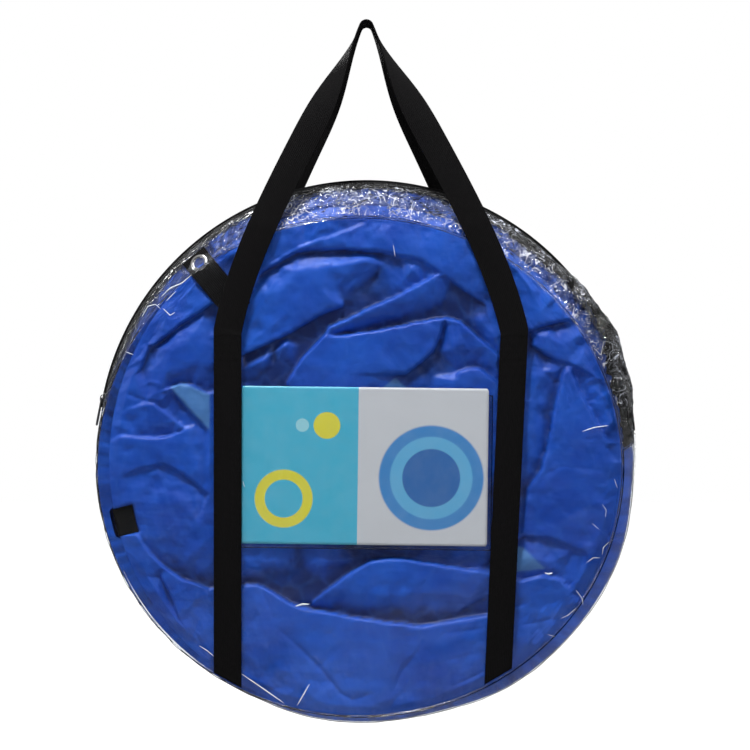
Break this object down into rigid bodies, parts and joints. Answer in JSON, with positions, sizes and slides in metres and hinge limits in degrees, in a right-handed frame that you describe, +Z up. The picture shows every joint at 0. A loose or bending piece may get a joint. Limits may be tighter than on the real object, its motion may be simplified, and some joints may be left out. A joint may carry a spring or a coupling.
{
  "type": "packed pet play tunnel in round carry bag",
  "caption": "Pop-open fabric pet play tunnel folded flat into a disc, zipped in a round clear carry bag with two webbing handles.",
  "frame": {"origin": "the hanging point: the top of the round hook that both webbing handles hang on, on the joint line between the two handles", "axes": "+Z up, -Y towards the bag's front panel with the insert card, +X to the viewer's right when facing the front panel; the bag's round axis runs along Y"},
  "size_m": [0.4912, 0.0554, 0.631],
  "materials": {
    "clear_vinyl": "clear, glossy and crinkled",
    "zip_tape": "woven, matte",
    "zip_coil": "satin nylon",
    "zip_metal": "dark satin",
    "black_webbing": "ribbed weave, matte",
    "insert_card": "coated card",
    "spring_steel": "drawn wire",
    "blue_nylon": "smooth, slightly shiny nylon",
    "nickel": "nickel plated"
  },
  "bodies": {
    "bag": {"bag_front_panel": "clear_vinyl", "bag_back_panel": "clear_vinyl", "bag_lower_gusset": "clear_vinyl", "bag_upper_gusset": "clear_vinyl", "card_pocket": "clear_vinyl", "zip_tape_front": "zip_tape", "zip_tape_rear": "zip_tape", "zip_coil_front": "zip_coil", "zip_coil_rear": "zip_coil", "zip_stop_left": "zip_metal", "zip_stop_right": "zip_metal", "strap_front_left": "black_webbing", "strap_front_right": "black_webbing", "strap_rear_left": "black_webbing", "strap_rear_right": "black_webbing", "tunnel_wire": "spring_steel", "wire_sleeve_front": "spring_steel", "wire_sleeve_rear": "spring_steel", "tunnel_pleats": "blue_nylon", "tunnel_front_hem": "blue_nylon", "tunnel_rear_hem": "blue_nylon", "tunnel_front_cloth": "blue_nylon", "tunnel_rear_cloth": "blue_nylon", "tab_front_upper": "black_webbing", "tab_front_side": "black_webbing", "tab_rear_right": "black_webbing", "tab_rear_left": "black_webbing", "eyelet_front_upper": "nickel", "eyelet_front_side": "nickel", "eyelet_rear_right": "nickel", "eyelet_rear_left": "nickel", "washer_front_upper": "nickel", "washer_front_side": "nickel", "washer_rear_right": "nickel", "washer_rear_left": "nickel"},
    "front_handle": {"front_handle": "black_webbing"},
    "rear_handle": {"rear_handle": "black_webbing"},
    "zip_slider": {"zip_slider": "zip_metal"},
    "zip_pull": {"zip_pull": "zip_metal"},
    "insert_card": {"insert_card": "insert_card"}
  },
  "joints": [
    {"name": "front_handle_fold", "type": "hinge", "parent": "bag", "child": "front_handle", "pos_m": [0, -0.02675, -0.278], "axis": [1, 0, 0], "range_deg": [0, 180]},
    {"name": "rear_handle_fold", "type": "hinge", "parent": "bag", "child": "rear_handle", "pos_m": [0, 0.02675, -0.278], "axis": [-1, 0, 0], "range_deg": [0, 180]},
    {"name": "zip_slider_run", "type": "hinge", "parent": "bag", "child": "zip_slider", "pos_m": [0, 0.0125, -0.385], "axis": [0, 1, 0], "range_deg": [0, 162.9]},
    {"name": "zip_pull_flip", "type": "hinge", "parent": "zip_slider", "child": "zip_pull", "pos_m": [-0.24042, 0.01167, -0.33808], "axis": [-0.2291, 0.9724, 0.0447], "range_deg": [0, 180]},
    {"name": "insert_card_slide", "type": "slide", "parent": "bag", "child": "insert_card", "axis": [0, 0, 1], "range_m": [0, 0.1]}
  ]
}
